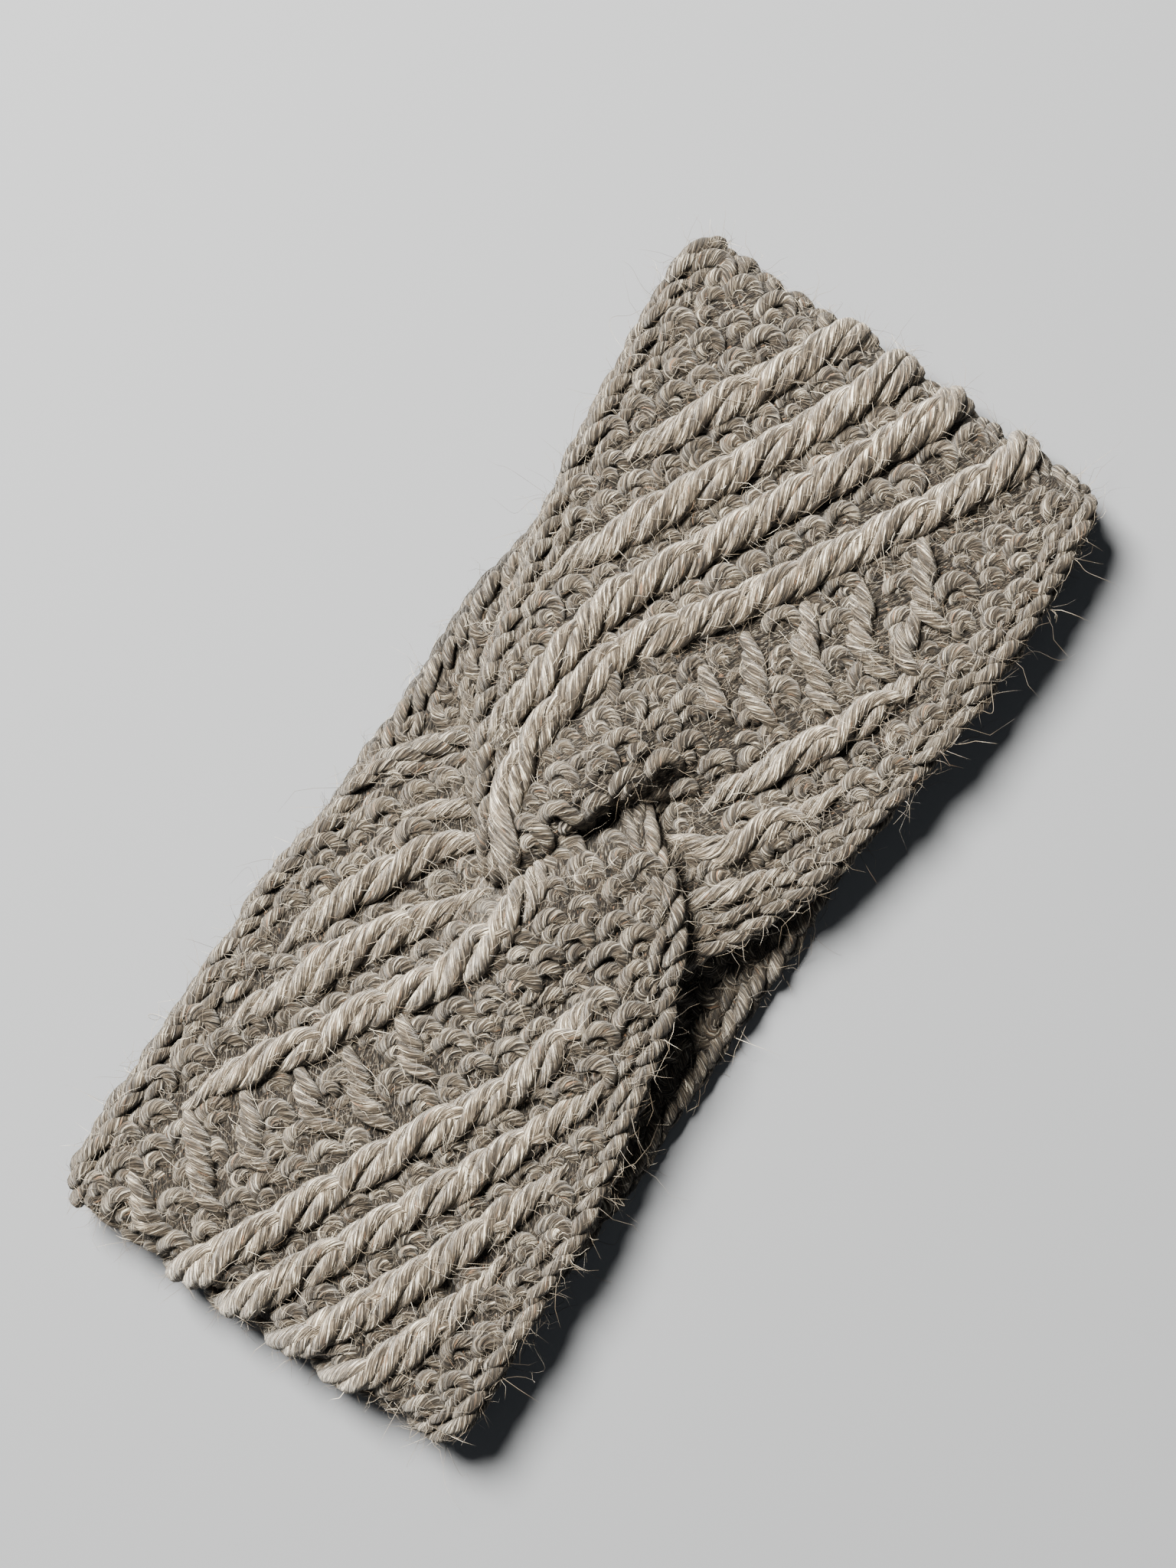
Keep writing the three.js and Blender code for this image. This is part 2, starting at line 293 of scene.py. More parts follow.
fibres = bpy.data.node_groups.new("wool fibres", "ShaderNodeTree")
for socket, kind, value in [("Locks", "NodeSocketFloat", 5), ("Fibres", "NodeSocketFloat", 30),
                            ("Run", "NodeSocketFloat", 0.12), ("Lean", "NodeSocketFloat", 0.02)]:
    fibres.interface.new_socket(socket, in_out="INPUT", socket_type=kind).default_value = value
for socket in ("Tone_and_groove_shade", "Relief", "Fleck", "Top"):
    fibres.interface.new_socket(socket, in_out="OUTPUT", socket_type="NodeSocketFloat")


def node(tree, kind, inputs=None, **settings):
    made = tree.nodes.new(kind)
    for key, value in settings.items():
        setattr(made, key, value)
    for key, value in (inputs or {}).items():
        if isinstance(value, bpy.types.NodeSocket):
            tree.links.new(value, made.inputs[key])
        else:
            made.inputs[key].default_value = value
    return made


def maths(tree, operation, a, b):
    return node(tree, "ShaderNodeMath", {0: a, 1: b}, operation=operation).outputs[0]


given = node(fibres, "NodeGroupInput").outputs
place = node(fibres, "ShaderNodeUVMap", uv_map="along_and_around")
split = node(fibres, "ShaderNodeSeparateXYZ", {0: place.outputs[0]}).outputs
leaning = maths(fibres, "ADD", split[1], maths(fibres, "MULTIPLY", split[0], given["Lean"]))
stretched = maths(fibres, "MULTIPLY", split[0], given["Run"])


def streaks(around, detail, rough, seed):
    """Noise drawn out along the yarn."""
    across = maths(fibres, "MULTIPLY", leaning, around)
    at = node(fibres, "ShaderNodeCombineXYZ", {0: stretched, 1: across, 2: seed}).outputs[0]
    noise = {"Vector": at, "Scale": 1.0, "Detail": detail, "Roughness": rough}
    return node(fibres, "ShaderNodeTexNoise", noise).outputs[0]


wander = streaks(3.0, detail=1.0, rough=0.5, seed=3.1)
fine = streaks(given["Fibres"], detail=3.0, rough=0.62, seed=7.7)
lock_turn = maths(fibres, "MULTIPLY", maths(fibres, "MULTIPLY", leaning, given["Locks"]), 2 * math.pi)
lock_turn = maths(fibres, "ADD", lock_turn, maths(fibres, "MULTIPLY", wander, WANDER))
locks = maths(fibres, "ADD", maths(fibres, "MULTIPLY", maths(fibres, "COSINE", lock_turn, 0), 0.5), 0.5)
locks = maths(fibres, "POWER", locks, LOCK_BREADTH)
patches = streaks(2.0, detail=1.0, rough=0.5, seed=21.7)
shown = node(fibres, "ShaderNodeMapRange", {"Value": patches, "From Min": 0.38, "From Max": 0.6}).outputs[0]
furrows = maths(fibres, "MULTIPLY", maths(fibres, "SUBTRACT", 1, locks), shown)
locks = maths(fibres, "SUBTRACT", 1, furrows)
# The tone is the fibres' own random tone plus the painted shade of the furrows between locks.
tone_and_groove_shade = maths(fibres, "ADD", maths(fibres, "MULTIPLY", locks, GROOVE_SHADE), fine)
lock_height = maths(fibres, "MULTIPLY", locks, LOCK_RELIEF)
relief = maths(fibres, "ADD", lock_height, maths(fibres, "MULTIPLY", fine, FINE_RELIEF))
fleck_count = maths(fibres, "MULTIPLY", given["Fibres"], FLECK_SHARE)
flecks = streaks(fleck_count, detail=1.0, rough=0.5, seed=15.3)
fleck = node(
    fibres, "ShaderNodeMapRange", {"Value": flecks, "From Min": 0.69, "From Max": 0.76}).outputs[0]
# Top is 1 on each yarn's upper side and falls to 0 under it; the finishes paint shade by it.
round_turn = maths(fibres, "COSINE", maths(fibres, "MULTIPLY", split[1], 2 * math.pi), 0)
top = node(
    fibres, "ShaderNodeMapRange", {"Value": round_turn, "From Min": 0.75, "From Max": -0.7}).outputs[0]
node(fibres, "NodeGroupOutput", {"Tone_and_groove_shade": tone_and_groove_shade, "Relief": relief, "Fleck": fleck, "Top": top})

# Colours of the wool from its darkest to its lightest fibres, and of the brown ones. The darkest
# end falls mostly in the furrows between the locks, where it is painted shade.
WOOL_TONES = [(0.525, (0.022, 0.016, 0.010)), (0.63, (0.098, 0.075, 0.050)),
              (0.71, (0.30, 0.248, 0.176)), (0.78, (0.95, 0.88, 0.712))]
FLECK = (0.17, 0.10, 0.055, 1)
RELIEF_DEPTH = 1.0


def wool(name, locks, fibre_count, run, lean, relief=1.0, darken=1.0, underside_shade=1.0):
    """A wool finish. Locks and fibres are counted round the yarn, run and lean are for each mm along
    it, and the colours are darkened as a whole, and towards the yarn's underside as painted shade."""
    finish = bpy.data.materials.new(name)
    finish.use_nodes = True
    tree = finish.node_tree
    shader = tree.nodes["Principled BSDF"]
    pattern = node(tree, "ShaderNodeGroup", node_tree=fibres)
    for socket, value in (("Locks", locks), ("Fibres", fibre_count), ("Run", run), ("Lean", lean)):
        pattern.inputs[socket].default_value = value
    ramp = node(tree, "ShaderNodeValToRGB", {0: pattern.outputs["Tone_and_groove_shade"]})
    stops = ramp.color_ramp.elements
    for k, (at, colour) in enumerate(WOOL_TONES):
        stop = stops[k] if k < 2 else stops.new(at)
        stop.position = at
        stop.color = (*(c * darken for c in colour), 1)
    blend = {0: pattern.outputs["Fleck"], 6: ramp.outputs[0], 7: FLECK}
    mixed = node(tree, "ShaderNodeMix", blend, data_type="RGBA")
    # Painted shade: the colour is scaled down towards the yarn's underside, to the given fraction.
    painted_shade_range = {"Value": pattern.outputs["Top"], "To Min": underside_shade}
    painted_underside_shade = node(tree, "ShaderNodeMapRange", painted_shade_range).outputs[0]
    shaded = node(tree, "ShaderNodeVectorMath", {0: mixed.outputs[2], 3: painted_underside_shade}, operation="SCALE")
    tree.links.new(shaded.outputs[0], shader.inputs["Base Color"])
    raised = {"Strength": relief, "Distance": RELIEF_DEPTH * MM, "Height": pattern.outputs["Relief"]}
    bump = node(tree, "ShaderNodeBump", raised)
    tree.links.new(bump.outputs[0], shader.inputs["Normal"])
    shader.inputs["Roughness"].default_value = 0.88
    shader.inputs["Specular IOR Level"].default_value = 0.25
    shader.inputs["Sheen Weight"].default_value = 0.3 * darken
    shader.inputs["Sheen Roughness"].default_value = 0.45
    shader.inputs["Sheen Tint"].default_value = (1.0, 0.96, 0.88, 1)
    return finish


# The wall's wool is darkened to a fifth as painted shade: the plain ground lies deep between stitches.
painted_shade_wall_wool = wool("painted_shade_wall_wool", locks=0.5, fibre_count=2.6, run=0.9, lean=0.5, darken=0.2)

WALL_HALF = 1.9
EDGE_THINNING = 0.7
EDGE_SHARE = 3 / 50
BUMP_ALONG, BUMP_ACROSS, BUMP_HEIGHT = 5.6, 4.7, 0.8
OUTER_BUMPS, INNER_BUMPS = 0.3, 0.9
WALL_ACROSS, WING_ROWS, FOLD_ROWS, BACK_ROWS = 32, 76, 16, 50


def grid_loops(rows, columns, base, flip):
    """Corners of the faces of a grid of points."""
    i, j = np.meshgrid(np.arange(rows - 1), np.arange(columns - 1), indexing="ij")
    a = base + i * columns + j
    quad = np.stack([a, a + 1, a + columns + 1, a + columns], -1).reshape(-1, 4)
    return quad[:, ::-1] if flip else quad


def wall_half(side):
    """Points of one half of the strip, from its sewn end to the middle of the back, as a grid."""
    sections = through(SECTIONS[side][::-1], WING_ROWS)
    v = np.linspace(-1, 1, WALL_ACROSS)
    t = np.abs(v)[None, :, None]
    over, middle, under = (sections[:, None, k:k + 2] * (1, side) for k in (0, 2, 4))
    wing = middle + (np.where(v[None, :, None] > 0, over, under) - middle) * t
    reach = FOLD_REACH + side * TWIST_X
    rest_along = np.concatenate([
        reach + FOLD_LENGTH * np.arange(1, FOLD_ROWS + 1) / FOLD_ROWS,
        reach + FOLD_LENGTH + np.linspace(0, reach, BACK_ROWS)[1:]])
    x = side * (2 * reach + FOLD_LENGTH - rest_along)
    left = np.interp(x, BACK_EDGES[:, 0], BACK_EDGES[:, 1])
    right = np.interp(x, BACK_EDGES[:, 0], BACK_EDGES[:, 2])
    share = (side * v[None, :] + 1) / 2
    rest_y = right[:, None] + (left - right)[:, None] * share
    rest = np.stack([np.broadcast_to(rest_along[:, None], rest_y.shape), rest_y], -1)
    grid = np.vstack([wing, rest])
    along, y = grid[..., 0], grid[..., 1]
    bumps = BUMP_HEIGHT * np.sin(math.pi * along / BUMP_ALONG) * np.sin(math.pi * y / BUMP_ACROSS)
    edge = np.sqrt(1 - np.clip(1 - (1 - np.abs(v)) / EDGE_SHARE, 0, 1) ** 2)[None, :]
    half = WALL_HALF * (1 - EDGE_THINNING * (1 - edge))
    outer = lie(side, along, y, half + OUTER_BUMPS * bumps * edge)
    inner = lie(side, along, y, -half - INNER_BUMPS * bumps * edge)
    return outer, inner, along, y


def fabric_wall():
    """Both halves of the strip, each closed along its selvedges and its two ends."""
    points, loops, uvs, base = [], [], [], 0
    for side in (1, -1):
        outer, inner, along, y = wall_half(side)
        rows, columns = along.shape
        count = rows * columns
        top = grid_loops(rows, columns, base, side < 0)
        under = grid_loops(rows, columns, base + count, side > 0)
        a = np.arange(rows - 1) * columns + base
        b = a + columns - 1
        edges = [np.stack([a, a + columns, a + columns + count, a + count], -1),
                 np.stack([b + columns, b, b + count, b + columns + count], -1)]
        c = np.arange(columns - 1) + base
        edges.append(np.stack([c + 1, c, c + count, c + 1 + count], -1))
        last = c + (rows - 1) * columns
        edges.append(np.stack([last, last + 1, last + 1 + count, last + count], -1))
        rims = np.vstack(edges)
        faces = np.vstack([top, under, rims if side > 0 else rims[:, ::-1]])
        flat_uv = np.stack([np.tile(along.ravel(), 2), np.tile(y.ravel(), 2)], -1)
        points += [outer.reshape(-1, 3), inner.reshape(-1, 3)]
        loops.append(faces)
        uvs.append(flat_uv[(faces - base).ravel()])
        base += 2 * count
    loops = np.vstack(loops)
    return build_mesh("fabric_wall", np.vstack(points), loops.ravel(), np.arange(len(loops)) * 4,
                      np.vstack(uvs), painted_shade_wall_wool)


wall = fabric_wall()
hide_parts("crochet_strip")


# The raised ridges of the wings
# Diagonal ropes of front-post stitches. Each post is a yarn that comes up from the rope's lower
# side and leans over its back into the next one; every second one hooks back over the top. They
# run on round both folds.

# Each ridge: side, then x, y points along its middle, left to right.
RIDGES = [
    (1, [(76, 38), (88, 30.7), (101, 23.6), (128, 9.3)]),
    (1, [(46, 36.6), (58, 30.8), (72, 23.8), (99, 9.6), (128, -3.8)]),
    (1, [(10, 29.5), (25, 27), (44, 23.4), (58, 17.6), (86, 3.4), (128, -18)]),
    (1, [(-15, 4), (-12, 10), (-4, 16), (5, 18.6), (14, 20), (25, 18.8), (39, 14.6), (52, 6.6),
         (79, -10.6), (108, -26.4), (128, -36.6)]),
    (1, [(25, -18.6), (36, -23.8), (48, -31.6), (58, -36.6), (70, -40.4)]),
    (1, [(13, -15), (17, -26), (27, -32.4), (37, -39)]),
    (1, [(2, -23.6), (8, -30.7), (17, -38)]),
    (-1, [(-13, 34), (-9, 28), (-5, 22)]),
    (-1, [(-51, 41), (-38, 36.4), (-28, 30.7), (-16, 23.6), (-11, 17)]),
    (-1, [(-71, 41), (-55, 32.6), (-42, 25.4), (-32, 18.4), (-21, 10)]),
    (-1, [(-90, 39), (-78, 32.4), (-66, 24), (-55, 18.2), (-43, 10.6), (-32, 5), (-20, 2), (-7, 2)]),
    (-1, [(-128, 23.6), (-109, 12), (-96, 5.4), (-85, 0.6), (-70, -6.6), (-55, -14.6), (-42, -19.6),
          (-26, -22.4)]),
    (-1, [(-128, 11), (-112, 0.8), (-98, -6.6), (-70, -20.6), (-55, -27.6), (-42, -32.4)]),
    (-1, [(-128, -4), (-114, -13.4), (-99, -20.8), (-75, -31.4), (-62, -36)]),
    (-1, [(-128, -18), (-113, -27.6), (-99, -33.4), (-86, -36.4)]),
]
WING_END = 127
RIDGE_SLOPE = 0.5
RIDGE_END_Y = 44
POST_GAP = 7.5
PAIR_SHIFT = 0.6
HOOKED_FROM, END_SIZE, TAPER = 17, 0.6, 17
ON_FRONT = 0.62
POST_POINTS = 19

# A yarn's route over a ridge: along, towards the left selvedge, height, radius
PLAIN_POST = [
    (-11, -1.7, 0.4, 1.6), (-8, -2.2, 2.0, 2.2), (-4, -1.6, 3.6, 2.4), (0, 0, 4.3, 2.4),
    (4, 1.6, 3.8, 2.4), (8, 2.2, 2.2, 2.2), (11, 1.7, 0.4, 1.6)]
HOOKED_POST = [
    (-11, -1.8, 0.4, 1.6), (-8, -2.3, 2.0, 2.2), (-4, -1.6, 3.7, 2.4), (0, 0.3, 4.5, 2.4),
    (4, 1.9, 4.3, 2.3), (7.5, 2.5, 4.2, 2.1), (10.5, 1.8, 4.5, 2.0), (13, 0.0, 4.1, 1.8),
    (14.8, -1.5, 2.4, 1.3)]

# Spread of a yarn's size, place along, place across and height, the last three in mm
UNEVEN = (0.045, 0.3, 0.2, 0.2)
CURVE_STEP = 0.5
EVENED_STEPS = 8
SIZE_STEP = 0.25
SMALLEST_FOR = 3

rng = np.random.default_rng(11)
strands = {}


def along_path(curve, at):
    """Place and left-hand direction at distances along a curve. The direction is evened out over
    EVENED_STEPS points each way, and past the ends the curve goes straight on."""
    steps = np.linalg.norm(np.diff(curve, axis=0), axis=1)
    lengths = np.concatenate([[0], np.cumsum(steps)])
    ahead = np.gradient(curve, axis=0)
    ahead /= np.linalg.norm(ahead, axis=1)[:, None]
    near = np.ones(2 * EVENED_STEPS + 1) / (2 * EVENED_STEPS + 1)
    level = [np.convolve(np.pad(ahead[:, k], EVENED_STEPS, "edge"), near, "valid") for k in (0, 1)]
    within = np.clip(at, 0, lengths[-1])
    place = np.stack([np.interp(within, lengths, curve[:, k]) for k in (0, 1)], -1)
    way = np.stack([np.interp(within, lengths, column) for column in level], -1)
    way /= np.linalg.norm(way, axis=-1, keepdims=True)
    place = place + way * (at - within)[..., None]
    return place, np.stack([-way[..., 1], way[..., 0]], -1)


def follow(side, curve, centres, route, points, outward=1, loose=1.0, size=1.0):
    """One yarn for each centre along a curve: a copy of a route of along, left, height, radius."""
    path = through(route, points)
    count = len(centres)
    size = np.broadcast_to(size, count)[:, None]
    grow = size * (1 + rng.normal(0, UNEVEN[0] * loose, (count, 1)))
    at = centres[:, None] + rng.normal(0, UNEVEN[1] * loose, (count, 1)) + grow * path[None, :, 0]
    place, left = along_path(curve, at)
    out = outward * size * path[None, :, 1] + rng.normal(0, UNEVEN[2] * loose, (count, 1))
    spot = place + left * out[..., None]
    height = size * path[None, :, 2] + rng.normal(0, UNEVEN[3] * loose, (count, 1))
    return dict(side=np.full((count, 1), side), x=spot[..., 0], y=spot[..., 1], height=height,
                radius=path[None, :, 3] * grow)


def pick(batch, keep):
    """Some of the yarns of a batch."""
    return {key: value[keep] for key, value in batch.items()}


def merge(batches):
    """Batches of yarns as one."""
    return {key: np.vstack([batch[key] for batch in batches]) for key in batches[0]}


# Each yarn starts at its own place in the wool's pattern, in mm
PATTERN_STEP, PATTERN_SPREAD = 37.7, 9


def tubes(name, middle, across, up, thick, finish):
    """Closed round yarns as one mesh: middles, two directions and radii round each ring."""
    count, points, sides = thick.shape
    turn = 2 * math.pi * np.arange(sides) / sides - math.pi / 2
    ring = (middle[:, :, None] + across[:, :, None] * (thick * np.cos(turn))[..., None]
            + up[:, :, None] * (thick * np.sin(turn))[..., None])
    block = np.arange(count)[:, None, None] * points * sides
    i = np.arange(points - 1)[None, :, None] * sides
    j = np.arange(sides)[None, None, :]
    k = (j + 1) % sides
    quads = np.stack([block + i + j, block + i + k, block + i + sides + k, block + i + sides + j], -1)
    first = block[:, 0] + np.arange(sides)[None, ::-1]
    last = block[:, 0] + (points - 1) * sides + np.arange(sides)[None, :]
    steps = np.linalg.norm(np.diff(middle, axis=1), axis=-1) / MM
    run = np.concatenate([np.zeros((count, 1)), np.cumsum(steps, axis=1)], axis=1)
    run += PATTERN_STEP * np.arange(count)[:, None] + rng.uniform(0, PATTERN_SPREAD, (count, 1))
    shape = (count, points - 1, sides)
    u0, u1 = (np.broadcast_to(part[..., None], shape) for part in (run[:, :-1], run[:, 1:]))
    v0, v1 = (np.broadcast_to((j + step) / sides, shape) for step in (0, 1))
    corners = [np.stack(pair, -1) for pair in ((u0, v0), (u0, v1), (u1, v1), (u1, v0))]
    cap_uv = np.tile(np.stack([np.zeros(sides), np.arange(sides) / sides], -1), (2 * count, 1))
    quad_count = count * (points - 1) * sides
    starts = np.concatenate([np.arange(quad_count) * 4, quad_count * 4 + np.arange(2 * count) * sides])
    loops = np.concatenate([quads.ravel(), first.ravel(), last.ravel()])
    uvs = np.vstack([np.stack(corners, -2).reshape(-1, 2), cap_uv])
    return build_mesh(name, ring.reshape(-1, 3), loops, starts, uvs, finish)


YARN_FLATTEN = 0.9
# Turn of the ribs from one ring to the next, of the main ones and of the half-high ones between
RIB_TURN, SMALL_RIB_TURN = 0.16, 0.10
JUST_ABOVE = 0.6


def sweep(name, batch, finish, sides, ribs, rib_depth, face=1):
    """Yarns laid on the strip along a batch of routes, with their locks of fibre as soft ribs.
    Face is 1 for the outer face of the strip and -1 for its inner one."""
    side = batch["side"]
    middle = lie(side, side * batch["x"], batch["y"], face * batch["height"])
    above = lie(side, side * batch["x"], batch["y"], face * (batch["height"] + JUST_ABOVE))
    ahead = np.gradient(middle, axis=1)
    ahead /= np.maximum(np.linalg.norm(ahead, axis=-1, keepdims=True), 1e-9)
    across = np.cross(above - middle, ahead)
    across /= np.maximum(np.linalg.norm(across, axis=-1, keepdims=True), 1e-9)
    up = np.cross(ahead, across)
    if face > 0:
        up = up * floor_press(side, side * batch["x"])[..., None]
    turn = 2 * math.pi * np.arange(sides) / sides
    phase = rng.uniform(0, 2 * math.pi, (len(middle), 1, 1))
    row = np.arange(middle.shape[1])[None, :, None]
    wave = np.cos(ribs * turn + RIB_TURN * row + phase)
    wave = wave + 0.5 * np.cos((2 * ribs - 1) * turn - SMALL_RIB_TURN * row + phase)
    thick = batch["radius"][..., None] * (1 + rib_depth * wave) * MM
    thick = thick * np.sqrt(np.sin(turn) ** 2 * YARN_FLATTEN ** 2 + np.cos(turn) ** 2)
    piece = tubes(name, middle, across, up, thick, finish)
    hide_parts("crochet_strip")
    strands[name] = (middle, ahead, across, up, batch["radius"] * MM)
    return piece


OUTLINE_ROWS = 60


def outline(side):
    """Outline of a front wing, as x and y."""
    sections = through(SECTIONS[side], OUTLINE_ROWS) * ([side] * 6)
    return np.vstack([sections[:, 0:2], sections[-1:, 2:4], sections[::-1, 4:6]])


OUTLINES = {side: outline(side) for side in (1, -1)}
COVERED_BY = 0.5


def inside(polygon, x, y):
    """Whether places lie inside a polygon."""
    found = np.zeros(np.shape(x), bool)
    for (ax, ay), (bx, by) in zip(polygon, np.roll(polygon, -1, axis=0)):
        meets = (bx - ax) * (y - ay) / (by - ay if by != ay else 1e-9) + ax
        found ^= ((ay > y) != (by > y)) & (x < meets)
    return found


def shows(side, x, y):
    """Whether a place on a front wing is out from under the other wing."""
    higher = front_height(-side, x, y) > front_height(side, x, y) + COVERED_BY
    return ~(inside(OUTLINES[-side], x, y) & higher)


def around_fold(side, curve):
    """A ridge that reaches the end of its wing goes on round the fold and over the back."""
    outer = curve[-1] if side > 0 else curve[0]
    if abs(outer[0]) < WING_END:
        return curve
    run = np.arange(CURVE_STEP, BAND_LENGTH, CURVE_STEP)
    y = outer[1] - side * RIDGE_SLOPE * run
    extra = np.stack([outer[0] + side * run, y], -1)[np.abs(y) < RIDGE_END_Y]
    return np.vstack([curve, extra]) if side > 0 else np.vstack([extra[::-1], curve])


def posts(side, curve):
    """The yarns of one ridge, every second one hooked. Towards the ends they are smaller, closer
    together and all plain."""
    length = np.linalg.norm(np.diff(curve, axis=0), axis=1).sum()
    places = np.arange(0, length, SIZE_STEP)
    grown = smooth((np.minimum(places, length - places) - SMALLEST_FOR) / TAPER)
    sizes = END_SIZE + (1 - END_SIZE) * grown
    passed = np.concatenate([[0], np.cumsum(SIZE_STEP / (POST_GAP * sizes))])[:-1]
    count = max(2, round(passed[-1]))
    centres = np.interp((np.arange(count) + 0.5) * passed[-1] / count, passed, places)
    from_end = np.minimum(centres, length - centres)
    hooked = (np.arange(count) % 2 == 1) & (from_end > HOOKED_FROM)
    size = np.interp(centres, places, sizes)
    batches = []
    for chosen, route, shift in ((~hooked, PLAIN_POST, PAIR_SHIFT), (hooked, HOOKED_POST, -PAIR_SHIFT)):
        at = centres[chosen] + shift
        batches.append(follow(side, curve, at, route, POST_POINTS, size=size[chosen]))
    return merge(batches)


post_wool = wool("post_wool", locks=8, fibre_count=38, run=0.26, lean=0.045, underside_shade=0.14)
ridge_curves = [
    (side, around_fold(side, spaced(through(points, 200), CURVE_STEP))) for side, points in RIDGES]
front_posts, posts_past_fold = [], []
for side, curve in ridge_curves:
    batch = posts(side, curve)
    x, y = batch["x"][:, POST_POINTS // 2], batch["y"][:, POST_POINTS // 2]
    front = np.abs(x) < FOLD_REACH + side * TWIST_X + ON_FRONT * FOLD_LENGTH
    front_posts.append(pick(batch, front & shows(side, x, y)))
    posts_past_fold.append(pick(batch, ~front))
ridges = sweep("raised_ridges", merge(front_posts), post_wool, sides=18, ribs=6, rib_depth=0.035)


# The bars
# Front-post stitches that lean the other way, singly, in the open ground between the ridges:
# short columns of yarn that wraps slantwise over them.

# Each bar: side, then x, y points along its middle, lower end first.
BARS = [
    (1, [(45, -18), (49, -13), (57, -8)]),
    (1, [(58, -21), (62, -17.6), (69, -15)]),
    (1, [(54, -29), (57, -24.5), (62, -20.5)]),
    (1, [(66, -35), (69, -28), (73, -24.5), (80, -21)]),
    (1, [(81, -39), (84, -33.5), (88, -30.5), (94, -28)]),
    (1, [(39, -11), (42, -6), (47, -3)]),
    (1, [(70, -38.5), (74, -34.5), (80, -34.5)]),
    (-1, [(-108, 22), (-105, 26), (-100, 30), (-94, 35)]),
    (-1, [(-95, 17), (-92, 22), (-84, 27)]),
    (-1, [(-80, 10), (-78, 16), (-72, 21)]),
    (-1, [(-73, 1), (-70, 8), (-63, 14)]),
    (-1, [(-59, -1), (-56, 5), (-51, 9)]),
    (-1, [(-118, 29), (-116, 34), (-111, 38)]),
]
# A yarn's route over a bar: along, towards the left, height, radius
BAR_WRAP = [
    (-5.0, -1.1, -0.4, 1.1), (-3.5, -1.6, 1.6, 1.5), (-1.7, -1.0, 3.3, 1.75), (0.2, 0.1, 4.1, 1.8),
    (2.1, 1.2, 3.5, 1.7), (3.8, 1.9, 1.8, 1.5), (5.0, 1.8, -0.4, 1.1)]
BAR_WRAP_GAP = 3.9
BAR_END = 2.5
BAR_LOOSENESS = 1.3

bar_curves, bar_yarns = [], []
for side, points in BARS:
    curve = spaced(through(points, 60), CURVE_STEP)
    bar_curves.append((side, curve))
    length = np.linalg.norm(np.diff(curve, axis=0), axis=1).sum()
    count = max(2, round((length - 2 * BAR_END) / BAR_WRAP_GAP) + 1)
    centres = np.linspace(BAR_END, length - BAR_END, count)
    bar_yarns.append(follow(side, curve, centres, BAR_WRAP, points=13, loose=BAR_LOOSENESS))
bar_wool = wool("bar_wool", locks=6, fibre_count=30, run=0.3, lean=0.08, darken=0.72, underside_shade=0.16)
bars = sweep("bars", merge(bar_yarns), bar_wool, sides=16, ribs=6, rib_depth=0.035)


# The ground stitches of the wings
# Between the ridges every stitch shows as a small hook of yarn, curved round to the right with a
# second one inside it and a low loop at its foot. They stand in rows that lean with the ridges.
CELL_X = 6.75
# For each wing: y of one row at x = 0, gap between rows
CELL_ROWS = {1: (29.5, 7.4), -1: (-41.8, 7.1)}
# Numbers of the first column and row tried and of the ones after the last
COLUMNS_TRIED, ROWS_TRIED = (-3, 38), (-40, 60)
# Least distance of a stitch from a selvedge, from the middle of a ridge and from that of a bar
EDGE_CLEAR = 2.9
UNDER_RIDGE = 2.4
UNDER_BAR = 2.2
# Spread of a stitch's turn, size, place and height
UNEVEN_STITCH = (0.30, 0.10, 0.5, 0.4)

# Yarns of one stitch: x, y, height, radius
OUTER_HOOK = [
    (-3.4, 1.6, -0.6, 1.3), (-1.8, 2.4, 1.0, 1.75), (0.4, 2.4, 1.8, 1.9), (2.2, 1.1, 2.1, 1.95),
    (2.5, -0.9, 1.8, 1.85), (1.5, -2.8, 0.8, 1.6), (0.7, -3.8, -0.5, 1.2)]
INNER_HOOK = [
    (-3.4, -1.4, -0.6, 1.2), (-2.2, -0.2, 0.8, 1.7), (-0.8, 0.2, 1.6, 1.8), (0.2, -0.9, 1.4, 1.75),
    (-0.2, -2.6, 0.2, 1.4)]
FOOT_LOOP = [
    (-3.8, -2.4, -0.2, 1.1), (-2.4, -3.0, 0.8, 1.5), (-0.8, -3.9, 0.8, 1.5), (0.5, -5.0, -0.4, 1.1)]
STITCH = [OUTER_HOOK, INNER_HOOK, FOOT_LOOP]


def distance_to(line, x, y):
    """Shortest distances from places to a line of points."""
    gaps = np.hypot(x[:, None] - line[None, :, 0], y[:, None] - line[None, :, 1])
    return gaps.min(axis=1)


